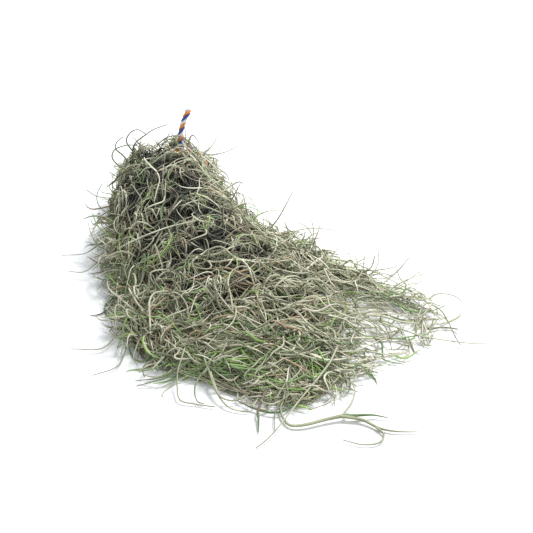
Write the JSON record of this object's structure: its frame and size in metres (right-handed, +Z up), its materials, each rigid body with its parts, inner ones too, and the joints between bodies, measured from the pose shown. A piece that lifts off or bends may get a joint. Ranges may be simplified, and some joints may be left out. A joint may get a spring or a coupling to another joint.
{
  "type": "spanish moss bunch",
  "caption": "Loose tied bunch of grey-green Spanish moss lying on a surface, its leafy stems gathered by a turn of twisted rope with a short free end.",
  "frame": {"origin": "on the surface the bunch lies on, under the middle hank, at the flat spot that it rests on", "axes": "+Z up, +Y along the bunch towards its tied head, +X to the right when looking from the loose ends to the head"},
  "size_m": [0.3508, 0.4912, 0.1132],
  "materials": {
    "moss_grey": "matte, scaly",
    "moss_olive": "matte, scaly",
    "rope": "twisted braid, slightly glossy"
  },
  "bodies": {
    "root": {"moss_hank_1": "moss_grey", "moss_hank_2": "moss_olive", "moss_hank_3": "moss_grey", "tie_loop": "rope", "tie_end": "rope"}
  },
  "joints": []
}
